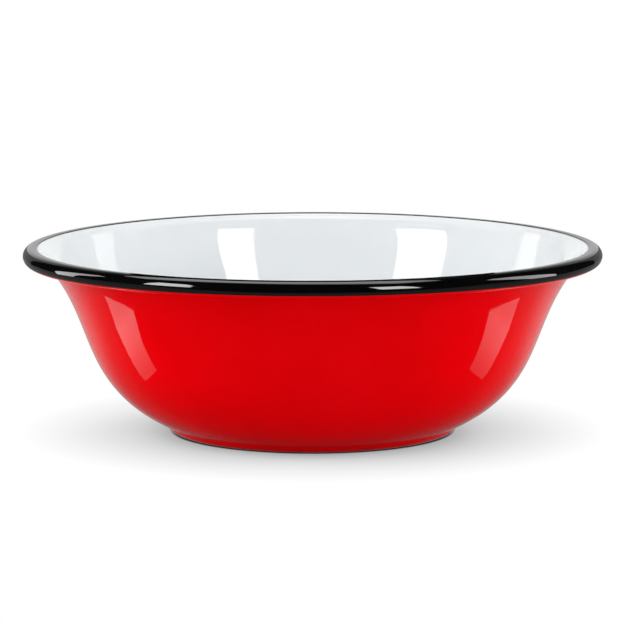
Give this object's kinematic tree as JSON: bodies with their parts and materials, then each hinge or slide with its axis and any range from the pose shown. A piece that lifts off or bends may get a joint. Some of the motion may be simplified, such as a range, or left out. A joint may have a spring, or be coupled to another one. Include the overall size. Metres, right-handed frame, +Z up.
{
  "type": "enamel bowl",
  "caption": "Round enamelled steel bowl with a flared lip, a black rolled rim, a white inside and a red outside, standing on a low flat pressed foot.",
  "frame": {"origin": "on the bowl's axis, at the table that the foot stands on", "axes": "+Z up along the bowl's axis; the bowl is round, so +X and +Y are any two directions square to it"},
  "size_m": [0.22, 0.22, 0.071],
  "materials": {
    "steel": "bare sheet, covered by enamel on every side",
    "ground_enamel": "fused glass, covered by the cover coats",
    "white_enamel": "glossy fused enamel",
    "red_enamel": "glossy fused enamel",
    "black_enamel": "glossy fused enamel"
  },
  "bodies": {
    "root": {"steel_shell": "steel", "ground_coat": "ground_enamel", "white_lining": "white_enamel", "red_outer_coat": "red_enamel", "black_rim_coat": "black_enamel"}
  },
  "joints": []
}
